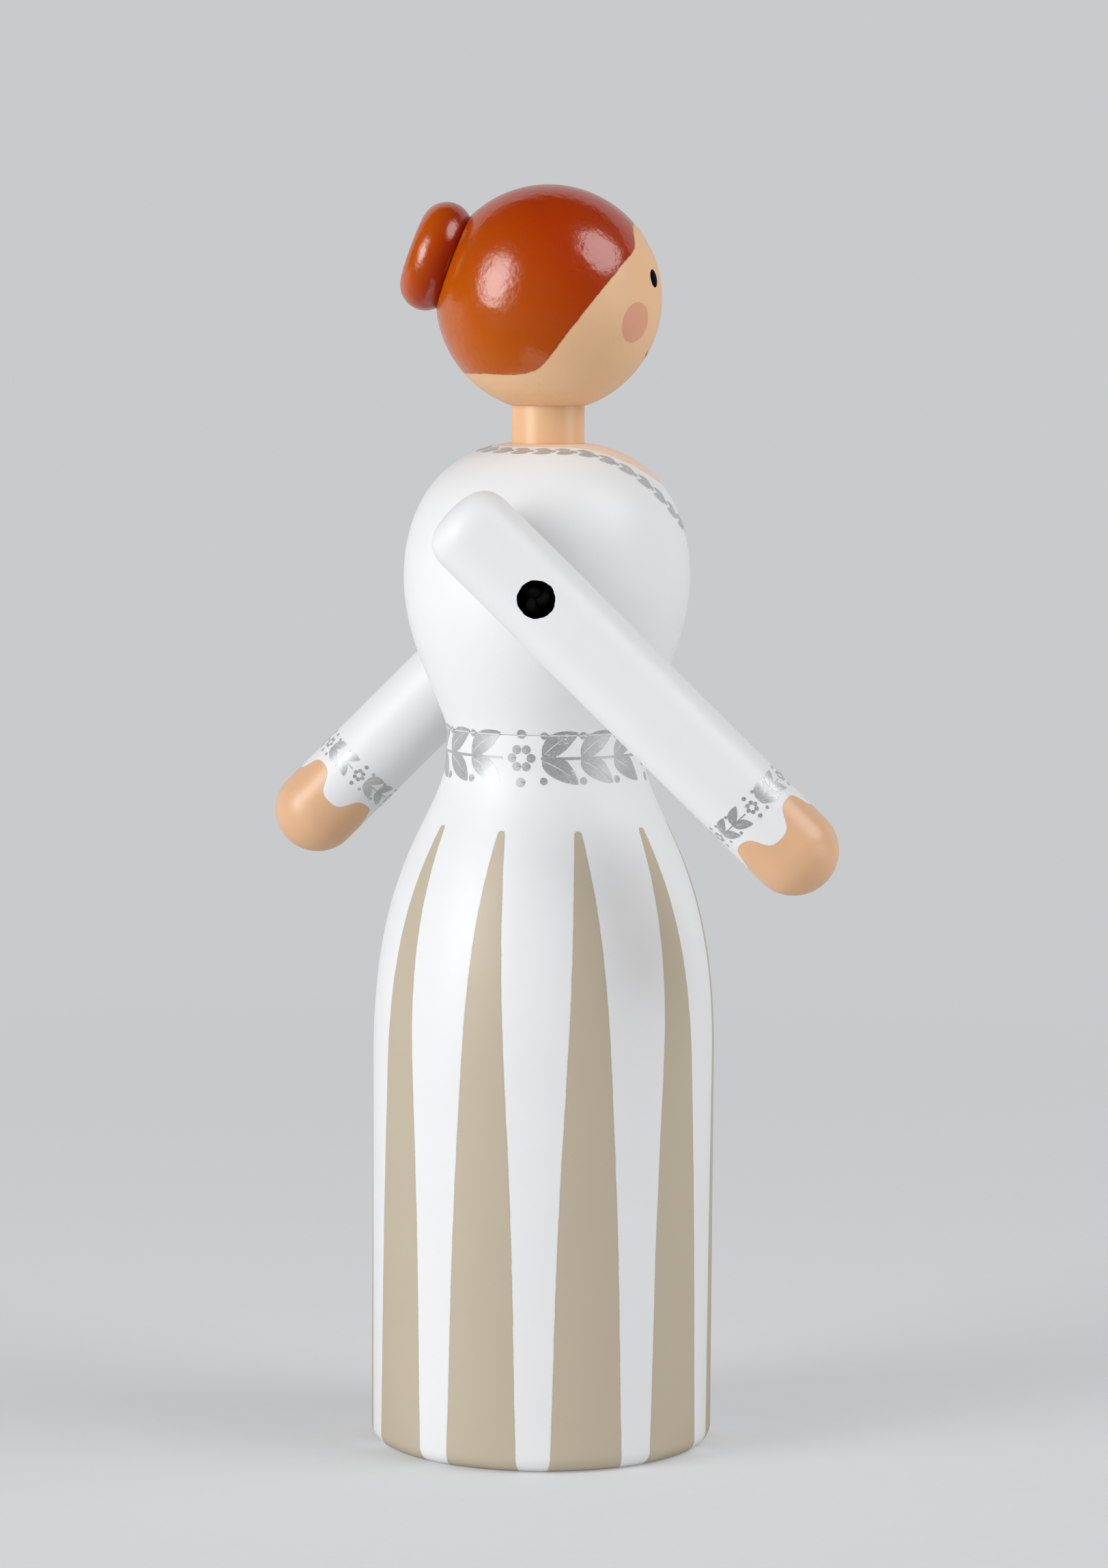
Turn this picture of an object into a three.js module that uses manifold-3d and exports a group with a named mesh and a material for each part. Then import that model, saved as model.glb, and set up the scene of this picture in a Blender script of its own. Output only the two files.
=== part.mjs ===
// Wooden bride figure: a turned and painted doll whose head turns on its neck
// and whose two arms swing on an elastic cord drawn through the chest.
// Millimetres, +Z up, origin at the middle of the base, +X to the figure's front.
import * as THREE from 'three';
import { mergeVertices } from 'three/addons/utils/BufferGeometryUtils.js';
import Module from 'manifold-3d';

// Skirt: the lower body, straight at the side and drawn in to the waist.
const skirtDiameter = 46.2;
const skirtHeight = 97.3;
const hemRounding = 2.2;
const straightSideHeight = 53.3;
const hipBow = 27.4;
const waistDiameter = 26.8;
const waistBandHeight = 3.4;
const waistBow = 8.7;

// Torso: the upper body, from the glued waist seam over the bust to the foot of the neck.
const torsoHeight = 38.2;
const waistSeamGap = 0.05;
const bustDiameter = 38.5;
const bustRise = 20.2;
const seamLean = 0.65;
const seamBow = 3.4;
const bustBowBelow = 8.9;
const bustBowAbove = 10.2;
const shoulderBow = 8.8;
const shoulderSlope = 0.9;

// Waist dowel, glued into both halves of the body.
const waistDowelDiameter = 8;
const waistDowelDepth = 11;

// Neck: a plain dowel glued into the torso, on which the head turns.
const neckDiameter = 9.8;
const neckShown = 5;
const neckInTorso = 9;
const neckInHead = 11;

// Head: a ball with a small flat for the bun.
const headDiameter = 30.3;

// Hair bun: a thick round-edged disc on the back of the head, widest a little above its seat.
const bunDiameter = 15;
const bunEdgeRadius = 3.4;
const bunWidestHeight = 2.2;
const bunTiltDegrees = 19.9;
const bunPegDiameter = 4;
const bunPegInHead = 6;
const bunPegInBun = 3.4;

// Arms: round dowels with a ball end for the hand and a flattened dome at the shoulder.
const armDiameter = 11.8;
const pivotRise = 19.15;
const handReach = 52.8;
const shoulderReach = 16;
const shoulderDome = 4.4;
const shoulderCrownWidth = 4.4;
const shoulderCornerDrop = 1.6;
const rightArmForwardDegrees = 45.7;
const leftArmBackDegrees = 44.7;

// Arm seats: a flat on each side of the torso, and one on the inner side of each arm.
const torsoFlatDepth = 0.4;
const armFlatDepth = 0.6;
const armFlatLength = 18;

// Elastic cord, with a knot in a pocket on the outer side of each arm.
const cordDiameter = 2.2;
const knotPocketDiameter = 5;
const knotPocketDepth = 4.5;
const knotLength = 3.6;
const knotRounding = 1;

// Clearances.
const glueClearance = 0.1;
const turningClearance = 0.1;
const holeEndClearance = 0.3;
const seatGap = 0.3;
const cordClearance = 0.4;
const knotClearance = 0.25;

// Finish of the facets: sides of each round and steps along each curve.
const bodySides = 48;
const headSides = 44;
const armSides = 32;
const smallSides = 28;
const cordSides = 16;
const hipSteps = 12;
const torsoSteps = 8;
const headSteps = 16;
const handSteps = 7;
const shoulderSteps = 6;
const bunEdgeSteps = 9;
const hemSteps = 4;
const knotSteps = 3;

const quarterTurn = Math.PI / 2;
const skirtRadius = skirtDiameter / 2;
const waistRadius = waistDiameter / 2;
const bustRadius = bustDiameter / 2;
const neckRadius = neckDiameter / 2;
const headRadius = headDiameter / 2;
const armRadius = armDiameter / 2;
const waistHoleRadius = waistDowelDiameter / 2 + glueClearance;
const waistHoleDepth = waistDowelDepth + holeEndClearance;
const neckHoleRadius = neckRadius + glueClearance;
const headHoleRadius = neckRadius + turningClearance;
const pegHoleRadius = bunPegDiameter / 2 + glueClearance;
const cordRadius = cordDiameter / 2;
const cordHoleRadius = cordRadius + cordClearance;

// Heights of the stack, from the base up.
const seamHeight = skirtHeight + waistSeamGap;
const bustHeight = seamHeight + bustRise;
const pivotHeight = seamHeight + pivotRise;
const torsoTop = seamHeight + torsoHeight;
const headHoleRim = torsoTop + neckShown;
const headCentre = headHoleRim + Math.sqrt(headRadius ** 2 - headHoleRadius ** 2);
const neckFoot = torsoTop - neckInTorso;
const neckEnd = headHoleRim + neckInHead;

// Sideways places, measured out from the figure's middle plane.
const torsoFlatSide = bustRadius - torsoFlatDepth;
const armFlatSide = torsoFlatSide + seatGap;
const armSide = armFlatSide - armFlatDepth + armRadius;
const knotPocketFloor = armSide + armRadius - knotPocketDepth;
const knotInnerEnd = knotPocketFloor + seatGap;
const knotOuterEnd = knotInnerEnd + knotLength;
const cutterReach = armDiameter + bustDiameter;

// The bun's seat: its rounded edge is cut where the disc meets the head.
const bunEdgeCentre = bunDiameter / 2 - bunEdgeRadius;
const bunThickness = bunWidestHeight + bunEdgeRadius;
const bunSeatRadius = bunEdgeCentre + Math.sqrt(bunEdgeRadius ** 2 - bunWidestHeight ** 2);
const bunSeatDistance = Math.sqrt(headRadius ** 2 - bunSeatRadius ** 2);
const bunSide = bunSeatDistance + seatGap;
const bunLean = THREE.MathUtils.degToRad(bunTiltDegrees);

const wasm = await Module();
wasm.setup();

// One point of a profile, at a radius from the axis and a height along it.
function at(radius, height) {
  return new THREE.Vector2(radius, height);
}

// A round stretch of a profile, turning from one angle up to another.
function arc(centreRadius, centreHeight, radius, startAngle, endAngle, steps) {
  const curve = new THREE.EllipseCurve(centreRadius, centreHeight, radius, radius, startAngle, endAngle);
  return curve.getPoints(steps);
}

// A bowed stretch of a profile from start to end, pulled towards its two levers.
function bow(start, startLever, endLever, end, steps) {
  const curve = new THREE.CubicBezierCurve(start, startLever, endLever, end);
  return curve.getPoints(steps);
}

// A turned body about +Z from a profile that starts and ends on the axis.
function turned(profile, sides) {
  const geometry = new THREE.LatheGeometry(profile, sides);
  return geometry.rotateX(quarterTurn);
}

// A round pin or cutter along Z between two heights.
function roundPin(radius, low, high, sides) {
  const geometry = new THREE.CylinderGeometry(radius, radius, high - low, sides);
  geometry.rotateX(quarterTurn);
  return geometry.translate(0, 0, (low + high) / 2);
}

// A round cutter along Y between two places, about the given height.
function crossPin(radius, start, end, height, sides) {
  const geometry = new THREE.CylinderGeometry(radius, radius, Math.abs(end - start), sides);
  return geometry.translate(0, (start + end) / 2, height);
}

function solidOf(geometry) {
  const bare = geometry.clone();
  bare.deleteAttribute('normal');
  bare.deleteAttribute('uv');
  const joined = mergeVertices(bare);
  const mesh = new wasm.Mesh({
    numProp: 3,
    vertProperties: new Float32Array(joined.attributes.position.array),
    triVerts: new Uint32Array(joined.index.array),
  });
  return new wasm.Manifold(mesh);
}

// The body left when each cutter is taken out of it.
function cutBy(geometry, cutters) {
  let solid = solidOf(geometry);
  for (const cutter of cutters) {
    solid = solid.subtract(solidOf(cutter));
  }
  const mesh = solid.getMesh();
  const result = new THREE.BufferGeometry();
  result.setAttribute('position', new THREE.BufferAttribute(mesh.vertProperties, 3));
  result.setIndex(new THREE.BufferAttribute(mesh.triVerts, 1));
  result.computeVertexNormals();
  return result;
}

function piece(name, geometry, color, roughness) {
  const material = new THREE.MeshStandardMaterial({ color, roughness, metalness: 0 });
  const mesh = new THREE.Mesh(geometry, material);
  mesh.name = name;
  return mesh;
}

const whitePaint = 0xe9eaeb;
const skinPaint = 0xe2bb97;
const hairPaint = 0xa43808;
const bareWood = 0xd8b98c;
const blackElastic = 0x111112;
const paintRoughness = 0.4;
const hairRoughness = 0.3;
const woodRoughness = 0.7;
const elasticRoughness = 0.8;

const figure = new THREE.Group();
figure.name = 'wooden_bride_figure';

// Skirt: flat foot, rounded hem, straight side, S-shaped hip and a short straight waist.
const hemCentre = skirtRadius - hemRounding;
const hipTop = skirtHeight - waistBandHeight;
const skirtProfile = [
  at(0, 0),
  ...arc(hemCentre, hemRounding, hemRounding, -quarterTurn, 0, hemSteps),
  ...bow(
    at(skirtRadius, straightSideHeight),
    at(skirtRadius, straightSideHeight + hipBow),
    at(waistRadius, hipTop - waistBow),
    at(waistRadius, hipTop),
    hipSteps,
  ),
  at(waistRadius, skirtHeight),
  at(waistHoleRadius, skirtHeight),
  at(waistHoleRadius, skirtHeight - waistHoleDepth),
  at(0, skirtHeight - waistHoleDepth),
];
const skirtGeometry = turned(skirtProfile, bodySides);
figure.add(piece('skirt', skirtGeometry, whitePaint, paintRoughness));

// Waist dowel: half in the skirt, half in the torso.
const dowelLow = skirtHeight - waistDowelDepth;
const dowelHigh = seamHeight + waistDowelDepth;
const dowelGeometry = roundPin(waistDowelDiameter / 2, dowelLow, dowelHigh, smallSides);
figure.add(piece('waist_dowel', dowelGeometry, bareWood, woodRoughness));

// Torso: turned with its two end holes, then bored across and flattened for the arms.
const torsoProfile = [
  at(0, seamHeight + waistHoleDepth),
  at(waistHoleRadius, seamHeight + waistHoleDepth),
  at(waistHoleRadius, seamHeight),
  ...bow(
    at(waistRadius, seamHeight),
    at(waistRadius + seamLean, seamHeight + seamBow),
    at(bustRadius, bustHeight - bustBowBelow),
    at(bustRadius, bustHeight),
    torsoSteps,
  ),
  ...bow(
    at(bustRadius, bustHeight),
    at(bustRadius, bustHeight + bustBowAbove),
    at(neckHoleRadius + shoulderBow, torsoTop - shoulderSlope),
    at(neckHoleRadius, torsoTop),
    torsoSteps,
  ).slice(1),
  at(neckHoleRadius, neckFoot - holeEndClearance),
  at(0, neckFoot - holeEndClearance),
];
const torsoGeometry = cutBy(turned(torsoProfile, bodySides), [
  crossPin(cordHoleRadius, -cutterReach, cutterReach, pivotHeight, cordSides),
  crossPin(armFlatLength / 2, -cutterReach, -torsoFlatSide, pivotHeight, smallSides),
  crossPin(armFlatLength / 2, torsoFlatSide, cutterReach, pivotHeight, smallSides),
]);
figure.add(piece('torso', torsoGeometry, whitePaint, paintRoughness));

// Neck: one plain dowel from inside the torso to inside the head.
const neckGeometry = roundPin(neckRadius, neckFoot, neckEnd, headSides);
figure.add(piece('neck', neckGeometry, skinPaint, paintRoughness));

// Head: a ball bored for the neck, with the flat and the peg hole for the bun.
const head = new THREE.Group();
head.name = 'head_parts';
head.position.z = headCentre;
figure.add(head);
const neckHoleEnd = neckEnd + holeEndClearance - headCentre;
const holeRimAngle = -Math.acos(headHoleRadius / headRadius);
const headProfile = [
  at(0, neckHoleEnd),
  at(headHoleRadius, neckHoleEnd),
  ...arc(0, 0, headRadius, holeRimAngle, quarterTurn, headSteps),
];
const pegHoleEnd = bunSeatDistance - bunPegInHead - holeEndClearance;
const bunFlatCutter = roundPin(headRadius, bunSeatDistance, headDiameter, smallSides);
const pegHoleCutter = roundPin(pegHoleRadius, pegHoleEnd, headDiameter, smallSides);
bunFlatCutter.rotateY(bunLean - quarterTurn);
pegHoleCutter.rotateY(bunLean - quarterTurn);
const headGeometry = cutBy(turned(headProfile, headSides), [bunFlatCutter, pegHoleCutter]);
head.add(piece('head', headGeometry, skinPaint, paintRoughness));

// Bun: turned about its own axis, from its seat on the head outwards, and pegged to the head.
const bunGroup = new THREE.Group();
bunGroup.name = 'bun_parts';
bunGroup.rotation.y = bunLean - quarterTurn;
head.add(bunGroup);
const pegHoleTop = bunPegInBun + holeEndClearance;
const bunSeatAngle = -Math.asin(bunWidestHeight / bunEdgeRadius);
const bunProfile = [
  at(0, pegHoleTop),
  at(pegHoleRadius, pegHoleTop),
  at(pegHoleRadius, 0),
  ...arc(bunEdgeCentre, bunWidestHeight, bunEdgeRadius, bunSeatAngle, quarterTurn, bunEdgeSteps),
  at(0, bunThickness),
];
const bun = piece('hair_bun', turned(bunProfile, smallSides), hairPaint, hairRoughness);
bun.position.z = bunSide;
bunGroup.add(bun);

// Bun peg: from inside the head to inside the bun.
const pegLow = bunSeatDistance - bunPegInHead;
const pegHigh = bunSide + bunPegInBun;
const pegGeometry = roundPin(bunPegDiameter / 2, pegLow, pegHigh, smallSides);
bunGroup.add(piece('bun_peg', pegGeometry, bareWood, woodRoughness));

// One arm hanging straight down about its pivot; outward is -1 for the right arm and 1 for the left.
function armGeometry(outward) {
  const profile = [
    ...arc(0, armRadius - handReach, armRadius, -quarterTurn, 0, handSteps),
    ...bow(
      at(armRadius, shoulderReach - shoulderDome),
      at(armRadius, shoulderReach - shoulderCornerDrop),
      at(shoulderCrownWidth, shoulderReach),
      at(0, shoulderReach),
      shoulderSteps,
    ),
  ];
  const flatSide = outward * (armFlatDepth - armRadius);
  const pocketFloor = outward * (knotPocketFloor - armSide);
  const farOut = outward * cutterReach;
  return cutBy(turned(profile, armSides), [
    crossPin(armFlatLength / 2, -farOut, flatSide, 0, smallSides),
    crossPin(cordHoleRadius, -farOut, farOut, 0, cordSides),
    crossPin(knotPocketDiameter / 2, pocketFloor, farOut, 0, smallSides),
  ]);
}

// Both arms as they stand: the right one swung forward, the left one swung back.
const arms = [
  { name: 'right_arm', outward: -1, swing: -rightArmForwardDegrees },
  { name: 'left_arm', outward: 1, swing: leftArmBackDegrees },
];
for (const arm of arms) {
  const mesh = piece(arm.name, armGeometry(arm.outward), whitePaint, paintRoughness);
  mesh.position.set(0, arm.outward * armSide, pivotHeight);
  mesh.rotation.y = THREE.MathUtils.degToRad(arm.swing);
  figure.add(mesh);
}

// Elastic cord: straight through chest and arms, knotted in each arm's pocket.
const knotRadius = knotPocketDiameter / 2 - knotClearance;
const knotCore = knotRadius - knotRounding;
const innerRound = knotInnerEnd + knotRounding;
const outerRound = knotOuterEnd - knotRounding;
const cordProfile = [
  at(0, -knotOuterEnd),
  ...arc(knotCore, -outerRound, knotRounding, -quarterTurn, 0, knotSteps),
  ...arc(knotCore, -innerRound, knotRounding, 0, quarterTurn, knotSteps),
  at(cordRadius, -knotInnerEnd),
  at(cordRadius, knotInnerEnd),
  ...arc(knotCore, innerRound, knotRounding, -quarterTurn, 0, knotSteps),
  ...arc(knotCore, outerRound, knotRounding, 0, quarterTurn, knotSteps),
  at(0, knotOuterEnd),
];
const cordGeometry = new THREE.LatheGeometry(cordProfile, cordSides);
cordGeometry.translate(0, 0, pivotHeight);
figure.add(piece('elastic_cord', cordGeometry, blackElastic, elasticRoughness));

export default figure;
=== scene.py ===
import math

import bmesh
import bpy
from mathutils import Matrix, Vector


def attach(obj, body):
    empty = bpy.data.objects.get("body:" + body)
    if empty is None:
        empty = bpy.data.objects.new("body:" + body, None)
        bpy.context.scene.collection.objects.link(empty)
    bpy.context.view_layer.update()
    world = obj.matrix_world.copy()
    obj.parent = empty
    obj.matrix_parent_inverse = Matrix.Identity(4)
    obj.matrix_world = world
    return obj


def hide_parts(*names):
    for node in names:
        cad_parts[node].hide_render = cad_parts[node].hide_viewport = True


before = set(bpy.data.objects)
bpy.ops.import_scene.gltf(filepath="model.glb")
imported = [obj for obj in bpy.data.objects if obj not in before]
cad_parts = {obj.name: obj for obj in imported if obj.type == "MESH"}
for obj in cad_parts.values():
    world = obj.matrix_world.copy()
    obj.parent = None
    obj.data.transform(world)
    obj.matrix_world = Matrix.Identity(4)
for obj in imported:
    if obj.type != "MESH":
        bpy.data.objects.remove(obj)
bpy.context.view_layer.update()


# Skirt: the lower body, one piece of beech turned on a lathe with a rounded hem and a bottle-shaped hip.
# It is sprayed white, and ten beige stripes are painted over masks from the hem up to a narrow point.
# Its flat underside is left as bare wood. Sizes are in millimetres, and heights start at the floor.
MM = 0.001
TURN = 2 * math.pi
SKIRT_RADIUS = 23.1
HEM_ROUNDING = 2.2
STRAIGHT_SIDE = 53.3
HIP_BOW = 27.4
WAIST_RADIUS = 13.4
WAIST_BAND = 3.4
WAIST_BOW = 8.7
SKIRT_HEIGHT = 97.3
SEAM_CHAMFER = 0.1
SEAM_CHAMFER_RISE = 0.12
DOWEL_HOLE = 4.1
SKIRT_HOLE_FLOOR = 86
HOLE_SLACK = 0.1
FACING_DOWN = -0.98
NEAR_FLOOR = 0.05
STRIPE_COUNT = 10
STRIPE_TIP = 84.8
STRIPE_TIP_ROUNDING = 0.5
STRIPE_HALF_WIDTHS = (
    (0, 5.0), (12, 4.66), (24, 4.38), (36, 3.95), (48, 3.35),
    (60, 2.68), (73, 1.77), (81.4, 0.88), (STRIPE_TIP, 0.42),
)
REAL_CORNER = 35
ON_AXIS = 1e-6
WELD = 1e-7


def bow(start, start_lever, end_lever, end, steps):
    """Points of a cubic curve between two profile points, pulled towards two levers."""
    corners = (start, start_lever, end_lever, end)
    points = []
    for i in range(steps + 1):
        t = i / steps
        weights = ((1 - t) ** 3, 3 * (1 - t) ** 2 * t, 3 * (1 - t) * t * t, t ** 3)
        points.append(tuple(sum(w * c[k] for w, c in zip(weights, corners)) for k in range(2)))
    return points


def arc(centre, radius, first, last, steps):
    """Points of a round stretch of a profile, between two angles in degrees."""
    angles = [math.radians(first + (last - first) * i / steps) for i in range(steps + 1)]
    return [(centre[0] + radius * math.cos(a), centre[1] + radius * math.sin(a)) for a in angles]


def straight(start, end, steps):
    """Points along a straight stretch of a profile."""
    return [tuple(s + (e - s) * i / steps for s, e in zip(start, end)) for i in range(steps + 1)]


def made_piece(name, shape, corner):
    """An object of the given shape, smooth but where its faces turn by more than the corner's degrees."""
    bmesh.ops.recalc_face_normals(shape, faces=shape.faces)
    mesh = bpy.data.meshes.new(name)
    shape.to_mesh(mesh)
    shape.free()
    mesh.shade_smooth()
    mesh.set_sharp_from_angle(angle=math.radians(corner))
    piece = bpy.data.objects.new(name, mesh)
    bpy.context.scene.collection.objects.link(piece)
    return piece


def turned(name, profile, sides, corner=REAL_CORNER):
    """A lathe-turned object about Z from (radius, height) points."""
    shape = bmesh.new()
    angles = [TURN * i / sides for i in range(sides)]
    rings = []
    for radius, height in profile:
        if radius < ON_AXIS:
            rings.append([shape.verts.new((0, 0, height * MM))])
            continue
        reach = radius * MM
        spots = [(reach * math.cos(a), reach * math.sin(a), height * MM) for a in angles]
        rings.append([shape.verts.new(spot) for spot in spots])
    for low, high in zip(rings, rings[1:]):
        for i in range(sides):
            j = (i + 1) % sides
            if len(low) == 1:
                shape.faces.new((low[0], high[j], high[i]))
            elif len(high) == 1:
                shape.faces.new((low[i], low[j], high[0]))
            else:
                shape.faces.new((low[i], low[j], high[j], high[i]))
    bmesh.ops.remove_doubles(shape, verts=shape.verts, dist=WELD)
    return made_piece(name, shape, corner)


def paint(red, green, blue):
    """A paint's colour, given as it reads on a screen, in the shader's own light values."""
    parts = [v / 255 for v in (red, green, blue)]
    return tuple(v / 12.92 if v <= 0.04045 else ((v + 0.055) / 1.055) ** 2.4 for v in parts) + (1,)


def feed(tree, value, socket):
    """Sets a socket to a plain value, or links it where the value is another socket."""
    if isinstance(value, bpy.types.NodeSocket):
        tree.links.new(value, socket)
    else:
        socket.default_value = value


def calc(tree, operation, *values):
    """The result of one sum or function of the given numbers or sockets."""
    node = tree.nodes.new("ShaderNodeMath")
    node.operation = operation
    for value, socket in zip(values, node.inputs):
        feed(tree, value, socket)
    return node.outputs[0]


# Where a Mix node that is set to colours has its share, its two colours and its result.
MIX_SHARE = 0
MIX_FIRST = 6
MIX_SECOND = 7
MIX_RESULT = 2


def mix(tree, share, first, second):
    """The second colour over the first, by a share from 0 to 1."""
    node = tree.nodes.new("ShaderNodeMix")
    node.data_type = "RGBA"
    feed(tree, share, node.inputs[MIX_SHARE])
    feed(tree, first, node.inputs[MIX_FIRST])
    feed(tree, second, node.inputs[MIX_SECOND])
    return node.outputs[MIX_RESULT]


def span(tree, value, low, high, first=0.0, last=1.0):
    """A value carried from one range to another and held at its ends."""
    node = tree.nodes.new("ShaderNodeMapRange")
    settings = {"Value": value, "From Min": low, "From Max": high, "To Min": first, "To Max": last}
    for name, given in settings.items():
        feed(tree, given, node.inputs[name])
    return node.outputs["Result"]


def cloud(tree, place, scale, detail):
    """A smooth random value from 0 to 1 over the surface; scale counts waves per millimetre."""
    node = tree.nodes.new("ShaderNodeTexNoise")
    feed(tree, place, node.inputs["Vector"])
    node.inputs["Scale"].default_value = scale
    node.inputs["Detail"].default_value = detail
    return node.outputs["Fac"]


def ripple(tree, place, scale, detail):
    """A smooth random value that swings to both sides of 0."""
    return calc(tree, "SUBTRACT", cloud(tree, place, scale, detail), 0.5)


def place_on(tree):
    """Where a point lies on its own piece, in millimetres, as a vector and as three numbers."""
    coordinates = tree.nodes.new("ShaderNodeTexCoord")
    scaled = tree.nodes.new("ShaderNodeVectorMath")
    scaled.operation = "SCALE"
    scaled.inputs["Scale"].default_value = 1 / MM
    tree.links.new(coordinates.outputs["Object"], scaled.inputs[0])
    parts = tree.nodes.new("ShaderNodeSeparateXYZ")
    tree.links.new(scaled.outputs[0], parts.inputs[0])
    return scaled.outputs[0], *parts.outputs


def drawn_curve(tree, value, stations):
    """Reads a value off a smooth curve through stations, whose first numbers rise."""
    first, last = stations[0][0], stations[-1][0]
    lowest = min(result for _, result in stations)
    highest = max(result for _, result in stations)
    reach, rise = last - first, highest - lowest
    node = tree.nodes.new("ShaderNodeFloatCurve")
    points = [((at - first) / reach, (result - lowest) / rise) for at, result in stations]
    curve = node.mapping.curves[0]
    curve.points[0].location = points[0]
    curve.points[1].location = points[-1]
    for point in points[1:-1]:
        curve.points.new(*point)
    node.mapping.update()
    feed(tree, span(tree, value, first, last), node.inputs["Value"])
    return calc(tree, "MULTIPLY_ADD", node.outputs[0], rise, lowest)


def raised(tree, shader, height, depth):
    """Gives a shader's surface a fine relief; a height of 1 stands for the depth in millimetres."""
    bump = tree.nodes.new("ShaderNodeBump")
    bump.inputs["Distance"].default_value = depth * MM
    feed(tree, height, bump.inputs["Height"])
    feed(tree, bump.outputs["Normal"], shader.inputs["Normal"])


NUMBER = "NodeSocketFloat"
VECTOR = "NodeSocketVector"
COLOUR = "NodeSocketColor"


def new_group(name, takes, gives):
    """An empty shader node group with named sockets; returns the group, its input and its output sockets."""
    group = bpy.data.node_groups.new(name, "ShaderNodeTree")
    for label, kind in takes.items():
        group.interface.new_socket(label, in_out="INPUT", socket_type=kind)
    for label, kind in gives.items():
        group.interface.new_socket(label, in_out="OUTPUT", socket_type=kind)
    return group, group.nodes.new("NodeGroupInput").outputs, group.nodes.new("NodeGroupOutput").inputs


def use_group(tree, group, **values):
    """One use of a node group, with its inputs set by name."""
    node = tree.nodes.new("ShaderNodeGroup")
    node.node_tree = group
    for label, value in values.items():
        feed(tree, value, node.inputs[label.replace("_", " ")])
    return node.outputs


# The edge of a painted field: the hand wanders a little along the mask and leaves a fine ridge of paint.
SLOW_WAVES = 0.35
QUICK_WAVES = 2.6
QUICK_SHARE = 0.7
EDGE_BLUR = 0.03
RIDGE_REACH = 0.14
painted_edge, takes, gives = new_group(
    "painted_edge",
    {"Inside": NUMBER, "Place": VECTOR, "Wander": NUMBER},
    {"Mask": NUMBER, "Ridge": NUMBER},
)
slow = ripple(painted_edge, takes["Place"], SLOW_WAVES, detail=1.0)
quick = ripple(painted_edge, takes["Place"], QUICK_WAVES, detail=2.0)
wave = calc(painted_edge, "MULTIPLY_ADD", quick, QUICK_SHARE, slow)
true_edge = calc(painted_edge, "MULTIPLY_ADD", wave, takes["Wander"], takes["Inside"])
feed(painted_edge, span(painted_edge, true_edge, -EDGE_BLUR, EDGE_BLUR), gives["Mask"])
off_edge = calc(painted_edge, "ABSOLUTE", true_edge)
feed(painted_edge, span(painted_edge, off_edge, RIDGE_REACH, EDGE_BLUR), gives["Ridge"])

# A film of paint on wood: faint clouds in its colour, fine orange peel, and a few duller rubbed places.
CLOUD_WAVES = 0.09
SPECK_WAVES = 1.7
SPECK_RANGE = (0.74, 0.8)
SPECK_SHADE = 0.03
RUB_WAVES = 0.22
RUB_RANGE = (0.5, 0.72)
PEEL_WAVES = 1.1
PEEL_SHARE = 0.6
SWELL_WAVES = 0.3
paint_film, takes, gives = new_group(
    "paint_film",
    {"Colour": COLOUR, "Place": VECTOR, "Clouding": NUMBER, "Gloss roughness": NUMBER, "Rubbed": NUMBER},
    {"Colour": COLOUR, "Roughness": NUMBER, "Height": NUMBER},
)
clouds = ripple(paint_film, takes["Place"], CLOUD_WAVES, detail=3.0)
specks = span(paint_film, cloud(paint_film, takes["Place"], SPECK_WAVES, detail=1.0), *SPECK_RANGE)
tone = calc(paint_film, "MULTIPLY_ADD", clouds, takes["Clouding"], 1.0)
tone = calc(paint_film, "MULTIPLY_ADD", specks, -SPECK_SHADE, tone)
shaded = paint_film.nodes.new("ShaderNodeVectorMath")
shaded.operation = "SCALE"
feed(paint_film, takes["Colour"], shaded.inputs[0])
feed(paint_film, tone, shaded.inputs["Scale"])
feed(paint_film, shaded.outputs[0], gives["Colour"])
rub = span(paint_film, cloud(paint_film, takes["Place"], RUB_WAVES, detail=4.0), *RUB_RANGE)
dulled = calc(paint_film, "MULTIPLY_ADD", rub, takes["Rubbed"], takes["Gloss roughness"])
feed(paint_film, dulled, gives["Roughness"])
peel = cloud(paint_film, takes["Place"], PEEL_WAVES, detail=2.0)
swell = cloud(paint_film, takes["Place"], SWELL_WAVES, detail=1.0)
feed(paint_film, calc(paint_film, "MULTIPLY_ADD", peel, PEEL_SHARE, swell), gives["Height"])


def new_material(name):
    """A material with an empty node tree but for its shader; returns all three."""
    material = bpy.data.materials.new(name)
    material.use_nodes = True
    return material, material.node_tree, material.node_tree.nodes["Principled BSDF"]


def coat(tree, shader, colour, place, clouding, roughness, rubbed, peel_depth):
    """Lays the paint film with the given colour on a shader."""
    film = use_group(
        tree, paint_film, Colour=colour, Place=place,
        Clouding=clouding, Gloss_roughness=roughness, Rubbed=rubbed,
    )
    feed(tree, film["Colour"], shader.inputs["Base Color"])
    feed(tree, film["Roughness"], shader.inputs["Roughness"])
    raised(tree, shader, film["Height"], peel_depth)


def ridged(tree, field, colour, ridge, share):
    """Shows the ridge along a painted field's edge in a darker colour."""
    return mix(tree, calc(tree, "MULTIPLY", field["Ridge"], share), colour, ridge)


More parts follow.
